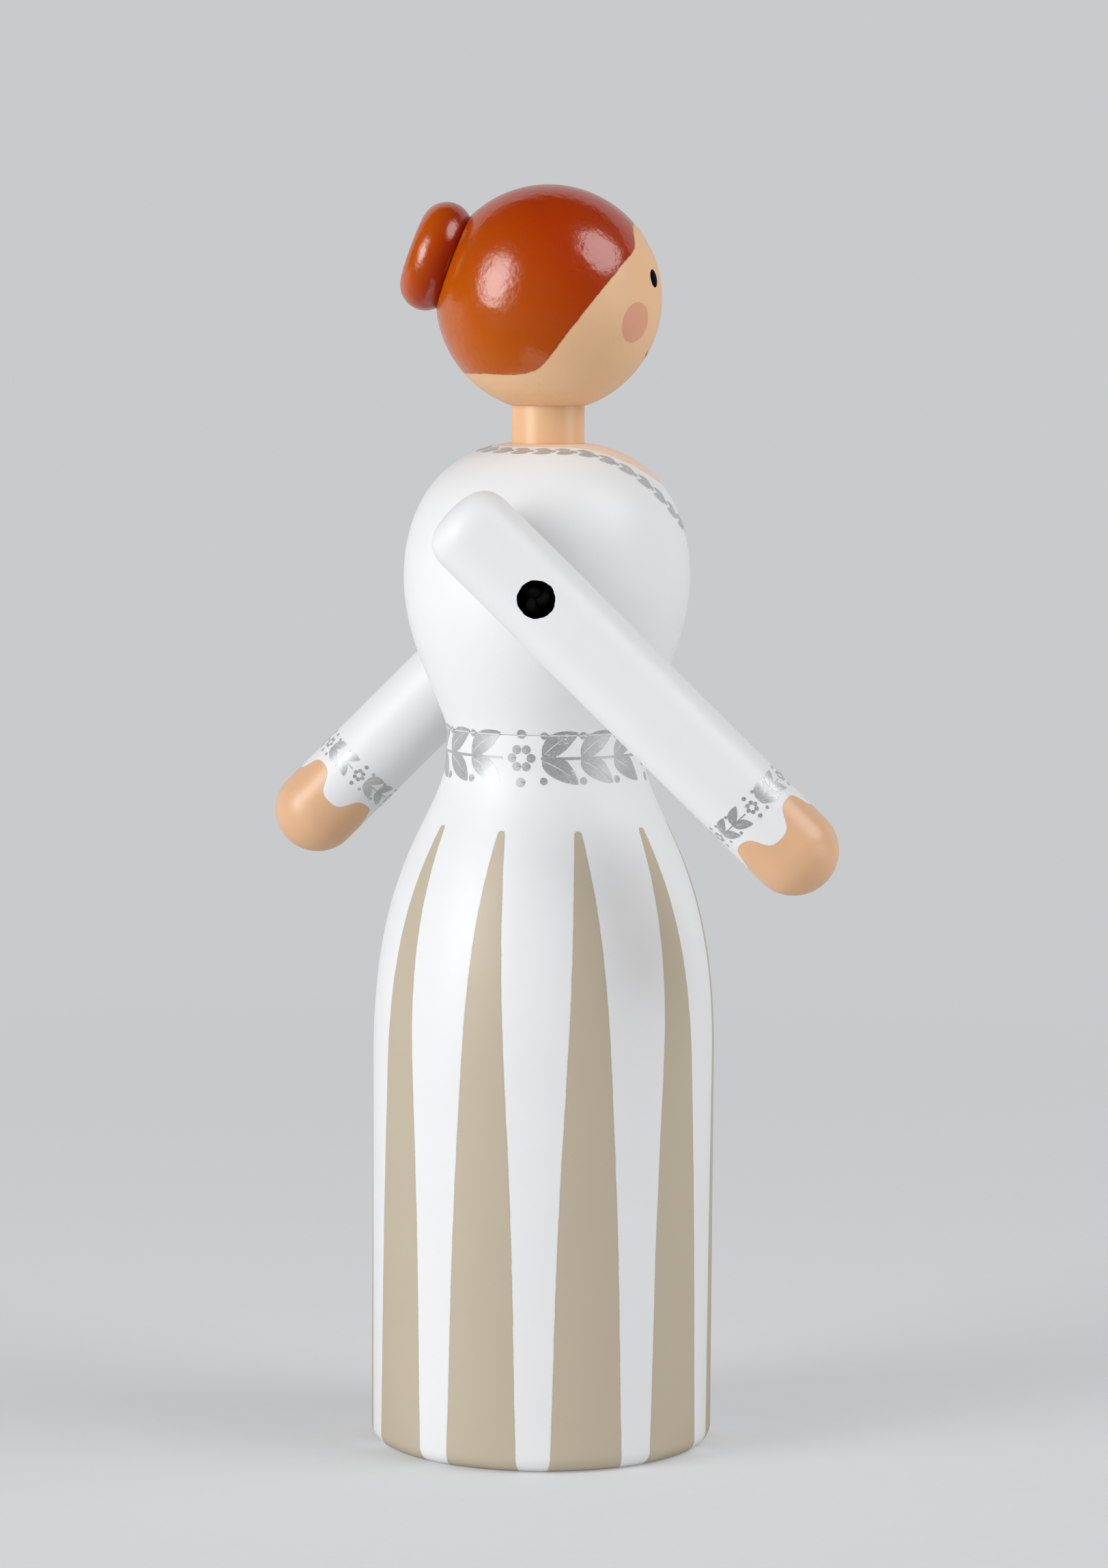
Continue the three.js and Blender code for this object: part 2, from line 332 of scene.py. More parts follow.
WHITE = paint(235, 236, 237)
BEIGE = paint(193, 181, 159)
BEIGE_RIDGE = paint(150, 138, 122)
SATIN = {"clouding": 0.035, "roughness": 0.44, "rubbed": 0.1, "peel_depth": 0.02}
striped_paint, tree, shader = new_material("striped_skirt_paint")
place, x, y, z = place_on(tree)
sector = calc(tree, "MULTIPLY_ADD", calc(tree, "ARCTAN2", y, x), STRIPE_COUNT / TURN, 0.5)
off_middle = calc(tree, "ABSOLUTE", calc(tree, "SUBTRACT", calc(tree, "FRACT", sector), 0.5))
around = calc(tree, "SQRT", calc(tree, "MULTIPLY_ADD", x, x, calc(tree, "MULTIPLY", y, y)))
off_middle = calc(tree, "MULTIPLY", calc(tree, "MULTIPLY", off_middle, TURN / STRIPE_COUNT), around)
within = calc(tree, "SUBTRACT", drawn_curve(tree, z, STRIPE_HALF_WIDTHS), off_middle)
within = calc(tree, "SMOOTH_MIN", within, calc(tree, "SUBTRACT", STRIPE_TIP, z), STRIPE_TIP_ROUNDING)
stripe = use_group(tree, painted_edge, Inside=within, Place=place, Wander=0.16)
colour = mix(tree, stripe["Mask"], WHITE, BEIGE)
colour = ridged(tree, stripe, colour, BEIGE_RIDGE, share=0.32)
coat(tree, shader, colour, place, **SATIN)

# Bare beech: pale, with fine pores along the grain and faint rings.
PALE_BEECH = paint(222, 192, 150)
RING_BEECH = paint(196, 158, 112)
PORE_BEECH = paint(150, 112, 74)
GRAIN_STRETCH = (1, 0.16, 0.05)
RING_WAVES = 0.5
RING_RANGE = (0.3, 0.7)
PORE_WAVES = 5.0
PORE_RANGE = (0.6, 0.75)
PORE_SHADE = 0.6
PORE_DEPTH = 0.03
BEECH_ROUGHNESS = (0.5, 0.75)
wood_grain, takes, gives = new_group(
    "wood_grain",
    {"Place": VECTOR},
    {"Colour": COLOUR, "Roughness": NUMBER, "Height": NUMBER},
)
stretched = wood_grain.nodes.new("ShaderNodeMapping")
stretched.inputs["Scale"].default_value = GRAIN_STRETCH
feed(wood_grain, takes["Place"], stretched.inputs["Vector"])
rings = cloud(wood_grain, stretched.outputs[0], RING_WAVES, detail=4.0)
pores = span(wood_grain, cloud(wood_grain, stretched.outputs[0], PORE_WAVES, detail=2.0), *PORE_RANGE)
colour = mix(wood_grain, span(wood_grain, rings, *RING_RANGE), PALE_BEECH, RING_BEECH)
colour = mix(wood_grain, calc(wood_grain, "MULTIPLY", pores, PORE_SHADE), colour, PORE_BEECH)
feed(wood_grain, colour, gives["Colour"])
feed(wood_grain, span(wood_grain, rings, 0.0, 1.0, *BEECH_ROUGHNESS), gives["Roughness"])
feed(wood_grain, calc(wood_grain, "SUBTRACT", 1.0, pores), gives["Height"])
bare_beech, tree, shader = new_material("bare_beech")
place, *_ = place_on(tree)
grain = use_group(tree, wood_grain, Place=place)
feed(tree, grain["Colour"], shader.inputs["Base Color"])
feed(tree, grain["Roughness"], shader.inputs["Roughness"])
raised(tree, shader, grain["Height"], PORE_DEPTH)

hip_top = SKIRT_HEIGHT - WAIST_BAND
hip = bow(
    (SKIRT_RADIUS, STRAIGHT_SIDE), (SKIRT_RADIUS, STRAIGHT_SIDE + HIP_BOW),
    (WAIST_RADIUS, hip_top - WAIST_BOW), (WAIST_RADIUS, hip_top), steps=64,
)
hem = arc((SKIRT_RADIUS - HEM_ROUNDING, HEM_ROUNDING), HEM_ROUNDING, -90, 0, steps=16)
skirt_outline = hem + straight(hem[-1], (SKIRT_RADIUS, STRAIGHT_SIDE), steps=24)[1:] + hip[1:]
skirt_outline += straight(hip[-1], (WAIST_RADIUS, SKIRT_HEIGHT - SEAM_CHAMFER_RISE), steps=6)[1:]
skirt_outline += [(WAIST_RADIUS - SEAM_CHAMFER, SKIRT_HEIGHT)]
foot = straight((0, 0), hem[0], steps=8)
hole = [(DOWEL_HOLE, SKIRT_HEIGHT), (DOWEL_HOLE, SKIRT_HOLE_FLOOR), (0, SKIRT_HOLE_FLOOR)]
skirt = turned("skirt_turned", foot + skirt_outline[1:] + hole, sides=192)
skirt.data.materials.append(striped_paint)
skirt.data.materials.append(bare_beech)
for face in skirt.data.polygons:
    underneath = face.normal.z < FACING_DOWN and face.center.z < NEAR_FLOOR * MM
    in_hole = math.hypot(face.center.x, face.center.y) < (DOWEL_HOLE + HOLE_SLACK) * MM
    if underneath or in_hole:
        face.material_index = 1
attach(skirt, "body")
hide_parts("skirt")


# Waist dowel: a plain beech peg glued into the skirt and the torso, hidden inside both.
# It keeps the CAD shape and has only its bare wood to show.
def bare_peg(node):
    """Gives a CAD peg its bare wood."""
    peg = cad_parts[node]
    peg.data.materials.clear()
    peg.data.materials.append(bare_beech)


bare_peg("waist_dowel")


# Torso: the turned upper body, glued on the skirt at the waist and sprayed white with it.
# Skin colour is painted round the neck, paler than the head's skin as a painted reflection, and white shows
# between it and the neckline's print.
# A small flat is cut on each side, where an arm is held against it.
SEAM = 97.35
WAIST_LEVER = (14.05, 100.75)
BUST_RADIUS = 19.25
BUST_HEIGHT = 117.55
BUST_LEVER_BELOW = 108.65
BUST_LEVER_ABOVE = 127.75
SHOULDER_LEVER = (13.8, 134.65)
TORSO_TOP = 135.55
TORSO_HOLE_ROOF = 108.6
NECK_BORE = 5.0
NECK_BORE_FLOOR = 126.3
TORSO_FLAT = 18.85
SKIN_EDGE_RUN = 44.8
SKIN_EDGE_DIP = 10.0
NECKLINE_SPREAD = math.radians(33)
LOWER_STEPS = 48
# Neckline skin paler than the head's: a painted reflection of the pale sheet on the shoulders.
SHOULDER_SKIN_SHEEN = paint(243, 212, 184)
SHOULDER_RIDGE = paint(176, 132, 100)
below_bust = bow(
    (WAIST_RADIUS, SEAM), WAIST_LEVER,
    (BUST_RADIUS, BUST_LEVER_BELOW), (BUST_RADIUS, BUST_HEIGHT), LOWER_STEPS,
)
above_bust = bow(
    (BUST_RADIUS, BUST_HEIGHT), (BUST_RADIUS, BUST_LEVER_ABOVE),
    SHOULDER_LEVER, (NECK_BORE, TORSO_TOP), steps=64,
)
torso_side = below_bust + above_bust[1:]
torso_outline = [
    (0, TORSO_HOLE_ROOF), (DOWEL_HOLE, TORSO_HOLE_ROOF), (DOWEL_HOLE, SEAM),
    (WAIST_RADIUS - SEAM_CHAMFER, SEAM), (WAIST_RADIUS, SEAM + SEAM_CHAMFER_RISE),
]
torso_outline += torso_side[1:] + [(NECK_BORE, NECK_BORE_FLOOR), (0, NECK_BORE_FLOOR)]
torso = turned("torso_turned", torso_outline, sides=192)
for point in torso.data.vertices:
    point.co.y = max(-TORSO_FLAT * MM, min(TORSO_FLAT * MM, point.co.y))

side_runs = [0.0]
for near, far in zip(torso_side, torso_side[1:]):
    side_runs.append(side_runs[-1] + math.dist(near, far))
shoulder_stations = [(point[1], run) for point, run in zip(torso_side, side_runs)][LOWER_STEPS::2]

bodice_paint, tree, shader = new_material("bodice_paint")
place, x, y, z = place_on(tree)
from_front = calc(tree, "DIVIDE", calc(tree, "ARCTAN2", y, x), NECKLINE_SPREAD)
dip = calc(tree, "EXPONENT", calc(tree, "MULTIPLY", calc(tree, "MULTIPLY", from_front, from_front), -1.0))
skin_edge = calc(tree, "MULTIPLY_ADD", dip, -SKIN_EDGE_DIP, SKIN_EDGE_RUN)
within = calc(tree, "SUBTRACT", drawn_curve(tree, z, shoulder_stations), skin_edge)
skin_field = use_group(tree, painted_edge, Inside=within, Place=place, Wander=0.12)
colour = mix(tree, skin_field["Mask"], WHITE, SHOULDER_SKIN_SHEEN)
colour = ridged(tree, skin_field, colour, SHOULDER_RIDGE, share=0.25)
coat(tree, shader, colour, place, **SATIN)
torso.data.materials.append(bodice_paint)
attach(torso, "body")
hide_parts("torso")


# Garlands: prints of silver ink on the finished paint, round the waist and along the neckline.
# Each is a thin stem with pairs of split leaves, broken by blossoms and berries.
# The ink is thin, so white specks of the paint under it show through.
INK_LIFT = 0.03
INK_DEPTH = 0.05
INK_WELD = 1e-8
WAIST_PRINT = 94.3
WAIST_UNITS = 16
STEM_WIDTH = 0.36
LEAF_LENGTH = 5.7
LEAF_WIDTH = 2.7
LEAF_SPREAD = 33
LEAF_STALK = (0.15, 0.3)
LEAF_WIDEST = 0.8
LEAF_FULLNESS = 0.75
LEAF_POINT = 0.03
LEAF_SPLIT = 0.07
LEAF_BEND = 0.06
LEAF_CELLS = 4
BUD_PLACE = (0.4, 3.0)
BUD_RADIUS = 0.5
BLOSSOM_SIZE = 2.1
PETALS = 6
PETAL_PLACE = 0.62
PETAL_RADIUS = 0.29
BERRY_PLACE = 3.2
BERRY_RADIUS = 0.62
BERRY_RINGS = (0.02, 0.5, 1)
NECK_PRINT_RUN = 42.8
NECK_PRINT_DIP = 14.5
NECK_PRINT_UNITS = 13
NECK_BLOSSOM = 1.3
NECK_BLOSSOM_SHARE = 0.9
NECK_LEAF_LENGTH = 2.4
NECK_LEAF_WIDTH = 1.25
NECK_LEAF_STALK = 0.3
NECK_LEAF_TURNS = ((1, 8), (-1, -14))
NECK_BERRY_RADIUS = 0.42
NECK_BERRY_BACK = 0.2
NECK_STEPS = 360
NECK_SLOPE_STEP = 0.02


def leaf(base, direction, length, width, steps=14):
    """The two grids of a pointed leaf from its stalk, one on each side of a fine split."""
    angle = math.radians(direction)
    halves = []
    for flank in (-1, 1):
        rows = []
        for i in range(steps + 1):
            t = i / steps
            half = width / 2 * (math.sin(math.pi * t ** LEAF_WIDEST) ** LEAF_FULLNESS + LEAF_POINT)
            split = LEAF_SPLIT * half * (1 - t)
            bend = LEAF_BEND * length * math.sin(math.pi * t)
            row = []
            for j in range(LEAF_CELLS + 1):
                along = t * length
                across = flank * (split + (half - split) * j / LEAF_CELLS) + bend
                row.append((
                    base[0] + along * math.cos(angle) - across * math.sin(angle),
                    base[1] + along * math.sin(angle) + across * math.cos(angle),
                ))
            rows.append(row)
        halves.append(rows)
    return halves


def disc(centre, radius, steps=20):
    """The grid of a round berry, from a small ring at its middle out to its rim."""
    rows = []
    for i in range(steps + 1):
        a = TURN * i / steps
        reaches = [radius * share for share in BERRY_RINGS]
        rows.append([(centre[0] + reach * math.cos(a), centre[1] + reach * math.sin(a)) for reach in reaches])
    return rows


def stem(path, width):
    """The grid of a thin stem along a row of points."""
    rows = []
    for i, point in enumerate(path):
        before, after = path[max(i - 1, 0)], path[min(i + 1, len(path) - 1)]
        run = Vector((after[0] - before[0], after[1] - before[1])).normalized()
        rows.append([(point[0] - run.y * width * q, point[1] + run.x * width * q) for q in (-0.5, 0, 0.5)])
    return rows


def blossom(heart, size):
    """The grids of an open flower with round petals about a bare middle."""
    petals = []
    reach = PETAL_PLACE * size
    for k in range(PETALS):
        a = TURN * k / PETALS
        middle = (heart[0] + reach * math.cos(a), heart[1] + reach * math.sin(a))
        petals.append(disc(middle, PETAL_RADIUS * size))
    return petals


def garland(units, length, scale, blossom_every):
    """The motifs of a leafy band along its length; scale 1 is the waist band's size."""
    pitch = length / units
    stalk_along, stalk_across = (scale * size for size in LEAF_STALK)
    bud_along, bud_across = (scale * size for size in BUD_PLACE)
    motifs = []
    for k in range(units):
        start = k * pitch
        middle = (start + pitch / 2, 0)
        if k % blossom_every == blossom_every - 1:
            motifs += blossom(middle, BLOSSOM_SIZE * scale)
            for side in (-1, 1):
                motifs.append(disc((middle[0], side * BERRY_PLACE * scale), BERRY_RADIUS * scale))
            continue
        motifs.append(stem(straight((start, 0), (start + pitch, 0), steps=12), STEM_WIDTH * scale))
        for side in (-1, 1):
            stalk = (start + stalk_along, side * stalk_across)
            motifs += leaf(stalk, side * LEAF_SPREAD, LEAF_LENGTH * scale, LEAF_WIDTH * scale)
            motifs.append(disc((start + bud_along, side * bud_across), BUD_RADIUS * scale))
    return motifs


INK_DARK = paint(190, 192, 193)
INK_PALE = paint(211, 213, 213)
BARE_PATCH = paint(222, 224, 226)
PATCH_WAVES = 0.4
PATCH_RANGE = (0.45, 0.65)
BARE_SHARES = (0.27, 0.41)
STIPPLE_WAVES = 5.5
SEAM_LINE = SEAM - 0.02
SEAM_LINE_RANGE = (0.1, 0.05)
INK_METAL = 0.5
FLAKE_WAVES = 2.4
FLAKE_RANGE = (0.3, 0.7)
FLAKE_ROUGHNESS = (0.36, 0.5)
FLAKE_DEPTH = 0.012
silver_ink, tree, shader = new_material("silver_ink")
place, _, _, z = place_on(tree)
patchy = span(tree, cloud(tree, place, PATCH_WAVES, detail=2.0), *PATCH_RANGE, *BARE_SHARES)
stipple = calc(tree, "LESS_THAN", cloud(tree, place, STIPPLE_WAVES, detail=1.0), patchy)
off_seam = calc(tree, "ABSOLUTE", calc(tree, "SUBTRACT", z, SEAM_LINE))
bare = calc(tree, "MAXIMUM", stipple, span(tree, off_seam, *SEAM_LINE_RANGE))
flakes = cloud(tree, place, FLAKE_WAVES, detail=3.0)
ink = mix(tree, flakes, INK_DARK, INK_PALE)
feed(tree, mix(tree, bare, ink, BARE_PATCH), shader.inputs["Base Color"])
feed(tree, span(tree, bare, 0.0, 1.0, INK_METAL, 0.0), shader.inputs["Metallic"])
feed(tree, span(tree, flakes, *FLAKE_RANGE, *FLAKE_ROUGHNESS), shader.inputs["Roughness"])
raised(tree, shader, flakes, FLAKE_DEPTH)


def printed(name, motifs, surface):
    """An ink print: thin closed patches laid on a surface that takes a point along and across the band."""
    shape = bmesh.new()
    step = 0.01
    for rows in motifs:
        layers = []
        for lift in (INK_LIFT, INK_LIFT - INK_DEPTH):
            layer = []
            for row in rows:
                line = []
                for a, b in row:
                    spot = surface(a, b)
                    out = (surface(a + step, b) - spot).cross(surface(a, b + step) - spot).normalized()
                    line.append(shape.verts.new((spot + out * lift) * MM))
                layer.append(line)
            layers.append(layer)
        top, under = layers
        last_row, last_column = len(rows) - 1, len(rows[0]) - 1
        for i in range(last_row):
            for j in range(last_column):
                shape.faces.new((top[i][j], top[i + 1][j], top[i + 1][j + 1], top[i][j + 1]))
                shape.faces.new((under[i][j], under[i][j + 1], under[i + 1][j + 1], under[i + 1][j]))
            for j in (0, last_column):
                shape.faces.new((top[i][j], top[i + 1][j], under[i + 1][j], under[i][j]))
        for i in (0, last_row):
            for j in range(last_column):
                shape.faces.new((top[i][j], top[i][j + 1], under[i][j + 1], under[i][j]))
    bmesh.ops.remove_doubles(shape, verts=shape.verts, dist=INK_WELD)
    piece = made_piece(name, shape, corner=40)
    piece.data.materials.append(silver_ink)
    return piece


body_side = skirt_outline[:-1] + torso_side


def body_radius(height):
    """The turned body's radius at a height, along the skirt and the torso."""
    for (near, low), (far, high) in zip(body_side, body_side[1:]):
        if low <= height <= high and high > low:
            return near + (far - near) * (height - low) / (high - low)
    return WAIST_RADIUS


def on_waist(along, across):
    """A point of the body from its place along and across the waist's print."""
    angle = along / WAIST_RADIUS
    height = WAIST_PRINT + across
    radius = body_radius(height)
    return Vector((radius * math.cos(angle), radius * math.sin(angle), height))


waist_motifs = garland(WAIST_UNITS, TURN * WAIST_RADIUS, scale=1.0, blossom_every=4)
waist_garland = printed("waist_garland", waist_motifs, on_waist)
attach(waist_garland, "body")


def between(value, stations, results):
    """Reads a value off a rising row of stations, straight between two of them."""
    for i in range(len(stations) - 1):
        if value <= stations[i + 1] or i == len(stations) - 2:
            share = (value - stations[i]) / (stations[i + 1] - stations[i])
            return results[i] + (results[i + 1] - results[i]) * share


torso_radii = [point[0] for point in torso_side]
torso_heights = [point[1] for point in torso_side]
neck_angles = [TURN * i / NECK_STEPS - math.pi for i in range(NECK_STEPS + 1)]
neck_runs = []
neck_lengths = [0.0]
for angle in neck_angles:
    neck_runs.append(NECK_PRINT_RUN - NECK_PRINT_DIP * math.exp(-((angle / NECKLINE_SPREAD) ** 2)))
for run, next_run in zip(neck_runs, neck_runs[1:]):
    around = between(run, side_runs, torso_radii) * TURN / NECK_STEPS
    neck_lengths.append(neck_lengths[-1] + math.hypot(around, next_run - run))


def on_neckline(along, across):
    """A point of the torso from its place along and across the neckline's print."""
    along = min(max(along, 0.0), neck_lengths[-1] - NECK_SLOPE_STEP)
    angle = between(along, neck_lengths, neck_angles)
    run = between(along, neck_lengths, neck_runs)
    rise = (between(along + NECK_SLOPE_STEP, neck_lengths, neck_runs) - run) / NECK_SLOPE_STEP
    radius = between(run, side_runs, torso_radii)
    angle -= across * rise / radius
    run += across * math.sqrt(max(0.0, 1 - rise * rise))
    radius = between(run, side_runs, torso_radii)
    height = between(run, side_runs, torso_heights)
    return Vector((radius * math.cos(angle), radius * math.sin(angle), height))


neck_half = neck_lengths[-1] / 2
neck_pitch = (neck_half - NECK_BLOSSOM) / NECK_PRINT_UNITS
one_side = []
for k in range(NECK_PRINT_UNITS):
    start = NECK_BLOSSOM + k * neck_pitch
    for flank, turn in NECK_LEAF_TURNS:
        one_side += leaf((start, flank * NECK_LEAF_STALK), turn, NECK_LEAF_LENGTH, NECK_LEAF_WIDTH, steps=8)
    if k:
        one_side.append(disc((start - NECK_BERRY_BACK, 0), NECK_BERRY_RADIUS, steps=14))
neck_motifs = blossom((neck_half, 0), NECK_BLOSSOM_SHARE * NECK_BLOSSOM)
for way in (-1, 1):
    for rows in one_side:
        neck_motifs.append([[(neck_half + way * along, across) for along, across in row] for row in rows])
neckline_garland = printed("neckline_garland", neck_motifs, on_neckline)
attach(neckline_garland, "body")


# Neck: a round beech dowel with eased ends, glued into the torso.
# It is painted in skin colour, and the head turns on its upper end.
NECK_RADIUS = 4.9
NECK_FOOT = 126.55
NECK_FIRST_RING = 127
NECK_TOP = 151.5
NECK_EASING = 0.4
SKIN = paint(234, 188, 142)
ENAMEL_SHINE = 0.75
neck_outline = [
    (0, NECK_FOOT), (NECK_RADIUS - NECK_EASING, NECK_FOOT), (NECK_RADIUS, NECK_FOOT + NECK_EASING),
]
neck_outline += straight((NECK_RADIUS, NECK_FIRST_RING), (NECK_RADIUS, NECK_TOP - NECK_EASING), steps=40)
neck_outline += [(NECK_RADIUS - NECK_EASING, NECK_TOP), (0, NECK_TOP)]
neck = turned("neck_turned", neck_outline, sides=96)
neck_paint, tree, shader = new_material("neck_paint")
place, *_ = place_on(tree)
coat(tree, shader, SKIN, place, clouding=0.05, roughness=0.36, rubbed=0.1, peel_depth=0.02)
shader.inputs["Specular IOR Level"].default_value = ENAMEL_SHINE
neck.data.materials.append(neck_paint)
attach(neck, "body")
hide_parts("neck")


# Head: a turned ball with a blind hole for the neck and a small flat at the back for the bun.
# Skin colour is sprayed first, then come cheeks and mouth, and the hair is glossy brown-red paint over it
# to a hand-painted line. The hair is painted lighter and more orange towards the nape and the bottom:
# painted light of the left lamp. Heights start at the ball's centre.
HEAD_CENTRE = 154.851
HEAD_RADIUS = 15.15
NECK_HOLE_ROOF = -3.0
NECK_HOLE_RIM = -13.9
NECK_HOLE_LIP = (NECK_BORE + 0.12, -14.2)
LIP_EASING = 1.0
BUN_FLAT = 13.592
BUN_LEAN = math.radians(19.9)
BROW_LINE = 0.868 * HEAD_RADIUS
BROW_SLANT = 0.2
EAR_LINE = 0.343 * HEAD_RADIUS
EAR_RISE = 0.6135
EAR_RUN = -0.79
NAPE_LINE = 0.658 * HEAD_RADIUS
BROW_ROUNDING = 1.3
NAPE_ROUNDING = 3.2
CHEEK_SPOT = (-11.6, 36)
CHEEK_RADIUS = 2.75
CHEEK_STRENGTH = 0.75
SMILE_SPOT = (-14, 0)
SMILE_RADIUS = 4.32
SMILE_THICKNESS = 0.72
SMILE_HALF_LENGTH = 2.35
SMILE_END_ROUNDING = 0.3
SMILE_TOP = -5.6
CHEEK_PINK = paint(216, 142, 116)
MOUTH_RED = paint(196, 84, 74)
HAIR = paint(167, 51, 0)
# Lighter, more orange hair colour: painted light, mixed in towards the back and the bottom of the head.
LIT_SIDE_HAIR = paint(190, 90, 0)
HAIR_RIDGE = paint(112, 36, 4)
HAIR_LIGHT_SLANT = 0.8
HAIR_LIGHT_RANGE = (8.0, -16.0)
SKIN_ROUGHNESS = 0.46
HAIR_ROUGHNESS = 0.19
rim_angle = -math.degrees(math.acos(NECK_BORE / HEAD_RADIUS))
head_outline = [(0, NECK_HOLE_ROOF), (NECK_BORE, NECK_HOLE_ROOF), (NECK_BORE, NECK_HOLE_RIM), NECK_HOLE_LIP]
head_outline += arc((0, 0), HEAD_RADIUS, rim_angle + LIP_EASING, 90, steps=96)[:-1] + [(0, HEAD_RADIUS)]
head = turned("head_turned", head_outline, sides=192)
bun_way = Vector((-math.cos(BUN_LEAN), 0, math.sin(BUN_LEAN)))
for point in head.data.vertices:
    beyond = point.co.dot(bun_way) - BUN_FLAT * MM
    if beyond > 0:
        point.co -= bun_way * beyond
head.location = (0, 0, HEAD_CENTRE * MM)

head_paint, tree, shader = new_material("head_paint")
place, x, y, z = place_on(tree)
side = calc(tree, "ABSOLUTE", y)


def face_way(latitude, from_front):
    """The direction from the head's centre to a spot on the face, by two angles in degrees."""
    level, turn = math.radians(latitude), math.radians(from_front)
    return Vector((math.cos(level) * math.cos(turn), math.cos(level) * math.sin(turn), math.sin(level)))


def off_spot(latitude, from_front):
    """The distance of a point of the head from a spot on the face, mirrored to both sides."""
    squares = []
    for part, middle in zip((x, side, z), HEAD_RADIUS * face_way(latitude, from_front)):
        squares.append(calc(tree, "POWER", calc(tree, "SUBTRACT", part, middle), 2.0))
    return calc(tree, "SQRT", calc(tree, "ADD", calc(tree, "ADD", squares[0], squares[1]), squares[2]))


behind_brow = calc(tree, "SUBTRACT", BROW_LINE, calc(tree, "MULTIPLY_ADD", z, BROW_SLANT, x))
above_ear = calc(tree, "MULTIPLY_ADD", z, EAR_RISE, calc(tree, "MULTIPLY_ADD", x, EAR_RUN, EAR_LINE))
above_nape = calc(tree, "ADD", z, NAPE_LINE)
hair_field = calc(tree, "SMOOTH_MIN", behind_brow, above_ear, BROW_ROUNDING)
hair_field = calc(tree, "SMOOTH_MIN", hair_field, above_nape, NAPE_ROUNDING)
hair = use_group(tree, painted_edge, Inside=hair_field, Place=place, Wander=0.3)
in_cheek = calc(tree, "SUBTRACT", CHEEK_RADIUS, off_spot(*CHEEK_SPOT))
cheek = use_group(tree, painted_edge, Inside=in_cheek, Place=place, Wander=0.2)
smile = calc(tree, "ABSOLUTE", calc(tree, "SUBTRACT", off_spot(*SMILE_SPOT), SMILE_RADIUS))
smile = calc(tree, "SUBTRACT", SMILE_THICKNESS / 2, smile)
smile = calc(tree, "SMOOTH_MIN", smile, calc(tree, "SUBTRACT", SMILE_HALF_LENGTH, side), SMILE_END_ROUNDING)
smile = calc(tree, "MINIMUM", smile, calc(tree, "SUBTRACT", SMILE_TOP, z))
mouth = use_group(tree, painted_edge, Inside=smile, Place=place, Wander=0.12)
colour = mix(tree, calc(tree, "MULTIPLY", cheek["Mask"], CHEEK_STRENGTH), SKIN, CHEEK_PINK)
colour = mix(tree, mouth["Mask"], colour, MOUTH_RED)
# Painted light: the hair turns to the lighter colour towards the back and the bottom, where the left lamp
# falls.
painted_light_share = span(tree, calc(tree, "MULTIPLY_ADD", z, HAIR_LIGHT_SLANT, x), *HAIR_LIGHT_RANGE)
colour = mix(tree, hair["Mask"], colour, mix(tree, painted_light_share, HAIR, LIT_SIDE_HAIR))
colour = ridged(tree, hair, colour, HAIR_RIDGE, share=0.35)
gloss = span(tree, hair["Mask"], 0.0, 1.0, SKIN_ROUGHNESS, HAIR_ROUGHNESS)
coat(tree, shader, colour, place, clouding=0.05, roughness=gloss, rubbed=0.04, peel_depth=0.09)
shader.inputs["Specular IOR Level"].default_value = ENAMEL_SHINE
head.data.materials.append(head_paint)
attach(head, "head")
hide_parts("head")


# Eyes: two round drops of black enamel, slightly domed, one on each side of the face.
# They are dabbed on the finished skin with the end of a dowel, and their foot reaches a little into the head.
EYE_RADIUS = 1.22
EYE_DOME = 0.09
EYE_FOOT = 0.25
EYE_FOOT_INSET = 0.05
EYE_LEVEL = 10.6
EYE_ASIDE = 18
EYE_STEPS = 12
EYE_BLACK = paint(4, 8, 20)
EYE_SHINE = 0.004
eye_black, tree, shader = new_material("eye_black")
place, *_ = place_on(tree)
coat(tree, shader, EYE_BLACK, place, clouding=0.2, roughness=0.3, rubbed=0.1, peel_depth=0.01)
shader.inputs["Specular IOR Level"].default_value = EYE_SHINE


def ball_fall(reach):
    """How far the head's surface falls away at a distance from a spot on it."""
    return HEAD_RADIUS - math.sqrt(HEAD_RADIUS ** 2 - reach ** 2)


eye_foot = -ball_fall(EYE_RADIUS) - EYE_FOOT
eye_outline = [(0, eye_foot), (EYE_RADIUS - EYE_FOOT_INSET, eye_foot)]
for reach, rise in arc((0, 0), 1, 0, 90, EYE_STEPS):
    eye_outline.append((EYE_RADIUS * reach, EYE_DOME * rise - ball_fall(EYE_RADIUS * reach)))
for name, side_of_face in (("right_eye", -1), ("left_eye", 1)):
    drop = turned(name, eye_outline, sides=48, corner=60)
    gaze = face_way(EYE_LEVEL, EYE_ASIDE * side_of_face)
    drop.matrix_world = (
        Matrix.Translation(Vector((0, 0, HEAD_CENTRE * MM)) + gaze * HEAD_RADIUS * MM)
        @ gaze.to_track_quat("Z", "Y").to_matrix().to_4x4()
    )
    drop.data.materials.append(eye_black)
    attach(drop, "head")


# Bun: a turned button with a round edge, glued on the flat of the head with a hidden peg.
# It is dipped in the hair's paint, and its colour is painted darker and redder towards its foot: painted
# shade of the groove.
BUN_EDGE = 3.4
BUN_EDGE_CENTRE = 4.1
BUN_WIDEST = 2.5
BUN_SEAT = 3
BUN_CROWN = ((3, 0.03), (1.5, 0.06), (0, 0.07))
